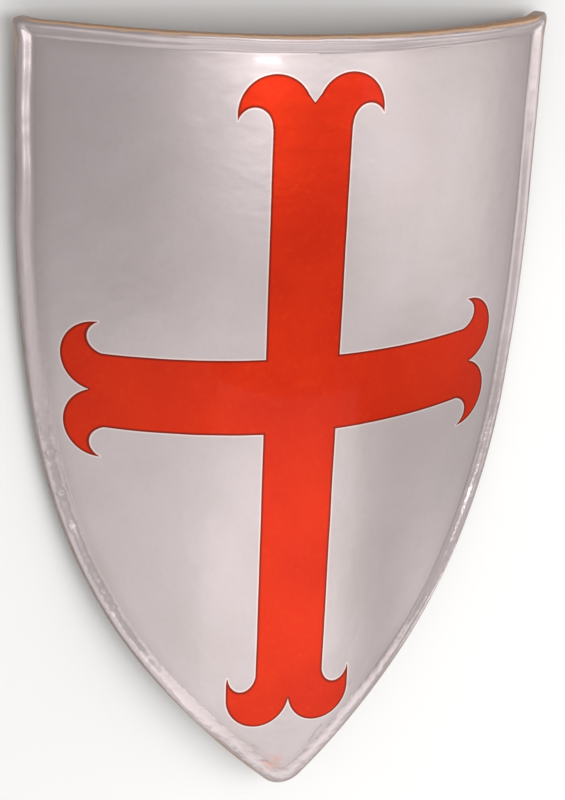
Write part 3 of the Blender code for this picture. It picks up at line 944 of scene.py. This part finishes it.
def paint_material():
    """Gloss paint over the face and the edging, with the cross, and the edging worn to the hide."""
    g = Graph("gloss_paint")
    sheet, s, y, fold = g.sheet()
    specks = g.noise(sheet, 160, 2)
    field = field_colour(g, sheet, s, y, fold, specks)
    painted = with_cross(g, sheet, s, y, field, specks)

    # The edging's paint is dirty near its outer turn, and rubbed off to the hide along the turn
    # itself, widest along the top and the right side, but hardly on the ears
    patchy = g.math("SUBTRACT", g.noise(sheet, 60, 4, 0.6), 0.5)
    worn_at = g.math("MULTIPLY_ADD", patchy, WEAR_PATCHES, fold)
    worn_at = g.math("SUBTRACT", worn_at, g.step(y, -0.03, 0.0, 0.0, WEAR_ON_TOP))
    worn_at = g.math("SUBTRACT", worn_at, g.step(s, 0.12, 0.25, 0.0, WEAR_ON_RIGHT))
    painted = g.mix(g.step(worn_at, *FOLD_DIRTY, 0.0, 0.4), painted, RIM_DIRT)
    worn = g.step(worn_at, *FOLD_WORN)
    worn = g.math("MULTIPLY_ADD", g.math("MULTIPLY", worn, ear_share(g, s, y)), -0.7, worn)
    hide = g.mix(g.step(y, *Y_TOP_EDGE), HIDE_SIDE, HIDE_WORN)
    # Painted shade: right at the outer turn the hide is darkened as its shaded wall, less so along
    # the top
    edge = g.mix(g.step(y, *Y_TOP_EDGE), HIDE_WALL_SHADE, HIDE_WALL_SHADE_TOP)
    hide = g.mix(g.step(worn_at, *FOLD_OVER_EDGE), hide, edge)
    colour = g.mix(worn, painted, hide)

    # The roll is glossier than the face, most of all low down
    edging = g.step(fold, BAND_FOLD + 0.0002, BAND_FOLD - 0.0002)
    grime = g.step(g.noise(sheet, 12, 3), 0.3, 0.7, 0.0, FACE_GRIME)
    rim_roughness = g.step(y, *Y_GLOSSY, RIM_ROUGHNESS, LOW_RIM_ROUGHNESS)
    face_roughness = g.math("ADD", grime, FACE_ROUGHNESS)
    change = g.math("SUBTRACT", rim_roughness, face_roughness)
    roughness = g.math("MULTIPLY_ADD", edging, change, face_roughness)
    roughness = g.math("MULTIPLY_ADD", worn, WORN_ROUGHNESS, roughness)
    g.link(g.math("MULTIPLY_ADD", worn, -SILVER, SILVER), g.shader.inputs["Metallic"])
    return g.finish(colour, roughness, paint_normal(g, sheet, y, edging),
                    Specular_IOR_Level=0.12, Coat_Weight=0.08, Coat_Roughness=0.04)


def hide_material():
    """The edging's bare hide behind the painted fold, with painted shade on the wall of its turn.
    """
    g = Graph("edging_hide")
    sheet, s, y, fold = g.sheet()
    grain = g.voronoi(sheet, 900)
    blotch = g.noise(sheet, 25, 4, 0.6)
    colour = g.mix(g.step(blotch, 0.3, 0.7), HIDE_BACK, HIDE_BACK_DARK)
    # Painted shade: the wall of the outer turn is darkened as in shade, less so along the top
    edge = g.mix(g.step(y, *Y_TOP_EDGE), HIDE_WALL_SHADE, HIDE_WALL_SHADE_TOP)
    colour = g.mix(g.step(fold, *FOLD_UNDER_EDGE), colour, edge)
    colour = g.mix(g.math("MULTIPLY", g.step(grain, 0.25, 0.6), 0.2), colour, HIDE_PORE)
    painted = g.math("MULTIPLY", ear_share(g, s, y), g.step(fold, *FOLD_EAR_PAINT))
    colour = g.mix(g.math("MULTIPLY", painted, 0.85), colour, EAR_PAINT)
    normal = g.bump(grain, 0.25, 0.0004, g.bump(g.noise(sheet, 300, 4), 0.3, 0.0005))
    return g.finish(colour, 0.62, normal)


def wood_material():
    """Plain planed wood of the back, with its grain along the shield."""
    g = Graph("planed_wood")
    sheet = g.sheet()[0]
    rings = g.noise(g.scale(sheet, (1.0, 0.06, 0.0)), 85, 5, 0.62, 0.7)
    fibres = g.noise(g.scale(sheet, (1.0, 0.025, 0.0)), 640, 3, 0.7)
    stains = g.step(g.noise(sheet, 6, 3), 0.4, 0.75)
    colour = g.mix(g.step(rings, 0.35, 0.65), WOOD_PALE, WOOD_DARK)
    colour = g.mix(g.math("MULTIPLY", g.step(fibres, 0.5, 0.75), 0.5), colour, WOOD_FIBRE)
    colour = g.mix(g.math("MULTIPLY", stains, 0.35), colour, WOOD_STAIN)
    normal = g.bump(fibres, 0.35, 0.0006)
    return g.finish(colour, g.step(rings, 0.3, 0.7, 0.55, 0.7), normal)


def leather_material():
    """Dark strap leather, paler where it is rubbed along its edges."""
    g = Graph("strap_leather")
    sheet, _, _, edge = g.sheet()
    grain = g.voronoi(sheet, 620)
    blotch = g.noise(sheet, 45, 4, 0.6)
    colour = g.mix(g.step(blotch, 0.3, 0.7), LEATHER, LEATHER_DARK)
    rubbed = g.math("MULTIPLY", g.step(edge, 0.0022, 0.0004), g.step(blotch, 0.25, 0.6))
    colour = g.mix(g.math("MULTIPLY", rubbed, 0.6), colour, LEATHER_RUBBED)
    from_crease = g.math("ABSOLUTE", g.math("SUBTRACT", edge, CREASE_INSET))
    colour = g.mix(g.step(from_crease, 0.0011, 0.0003), colour, LEATHER_CREASE)
    normal = g.bump(grain, 0.3, 0.0006, g.bump(g.noise(sheet, 220, 4), 0.35, 0.0006))
    return g.finish(colour, g.step(blotch, 0.2, 0.8, 0.42, 0.6), normal, Specular_IOR_Level=0.4)


def iron_material():
    """Blackened iron of the rivets with a little rust."""
    g = Graph("rivet_iron")
    sheet = g.sheet()[0]
    rust = g.step(g.noise(sheet, 500, 4, 0.65), 0.52, 0.72)
    colour = g.mix(rust, IRON, RUST)
    roughness = g.math("MULTIPLY_ADD", rust, 0.3, 0.38)
    metal = g.math("SUBTRACT", 1.0, g.math("MULTIPLY", rust, 0.7))
    g.link(metal, g.shader.inputs["Metallic"])
    return g.finish(colour, roughness, g.bump(g.noise(sheet, 900, 4), 0.3, 0.0004))


def floor_material():
    g = Graph("pale_floor")
    place = g.tree.nodes.new("ShaderNodeTexCoord").outputs["Object"]
    tone = g.step(g.noise(place, 1.5, 3), 0.3, 0.7)
    return g.finish(g.mix(tone, FLOOR, FLOOR_DIM), 0.75, Specular_IOR_Level=0.2)


def build_stage():
    mesh = bpy.data.meshes.new("floor")
    corners = ((-1, -1), (1, -1), (1, 1), (-1, 1))
    mesh.from_pydata([(FLOOR_REACH * x, FLOOR_REACH * y, 0) for x, y in corners], [],
                     [(0, 1, 2, 3)])
    mesh.materials.append(floor_material())
    floor = bpy.data.objects.new("floor", mesh)
    bpy.context.scene.collection.objects.link(floor)
    world = bpy.data.worlds.new("studio")
    bpy.context.scene.world = world
    world.use_nodes = True
    background = world.node_tree.nodes["Background"]
    background.inputs["Color"].default_value = (1.0, 1.0, 1.0, 1.0)
    background.inputs["Strength"].default_value = ROOM_LIGHT


def build_camera():
    yaw = Matrix.Rotation(CAMERA_YAW, 3, "Y")
    pitch = Matrix.Rotation(CAMERA_PITCH, 3, "X")
    roll = Matrix.Rotation(CAMERA_ROLL, 3, "Z")
    seen = roll @ pitch @ yaw
    data = bpy.data.cameras.new("camera")
    data.sensor_width = SENSOR_WIDTH
    data.lens = FOCAL_PIXELS * SENSOR_WIDTH / PICTURE_HEIGHT
    camera = bpy.data.objects.new("camera", data)
    bpy.context.scene.collection.objects.link(camera)
    place = -(seen.transposed() @ CAMERA_OFFSET)
    facing = TURN @ seen.transposed()
    camera.matrix_world = Matrix.Translation(TURN @ place + PLACE) @ facing.to_4x4()
    bpy.context.scene.camera = camera


def add_softbox(name, azimuth, elevation, width, height, brightness):
    """A softbox on a dome round the shield, placed and sized by the angles that its middle sees."""
    a, e = math.radians(azimuth), math.radians(elevation)
    out = Vector((math.sin(a) * math.cos(e), math.sin(e), math.cos(a) * math.cos(e)))
    across = Vector((math.cos(a), 0.0, -math.sin(a)))
    facing = Matrix((across, out.cross(across), out)).transposed()
    data = bpy.data.lights.new(name, "AREA")
    data.shape = "RECTANGLE"
    data.size = 2 * DOME_RADIUS * math.tan(math.radians(width) / 2)
    data.size_y = 2 * DOME_RADIUS * math.tan(math.radians(height) / 2)
    data.energy = WATTS_PER_BRIGHTNESS * brightness * data.size * data.size_y
    light = bpy.data.objects.new(name, data)
    bpy.context.scene.collection.objects.link(light)
    place = Vector((0.0, SHIELD_MIDDLE, 0.0)) + DOME_RADIUS * out
    light.matrix_world = Matrix.Translation(TURN @ place + PLACE) @ (TURN @ facing).to_4x4()


def build_lights():
    for name, values in SOFTBOXES.items():
        add_softbox(name, *values)


def main():
    paint = paint_material()
    build_board([paint, wood_material()])
    build_edging([paint, hide_material()])
    leather = leather_material()
    for strap in (ARM_STRAP, HAND_STRAP):
        build_strap(strap, leather)
    build_rivets(iron_material())
    build_stage()
    build_camera()
    build_lights()


for stray in [o for o in bpy.context.scene.objects if o.name in ("Cube", "Light", "Camera")]:
    bpy.data.objects.remove(stray, do_unlink=True)
bpy.context.scene.view_settings.view_transform = "Standard"
main()
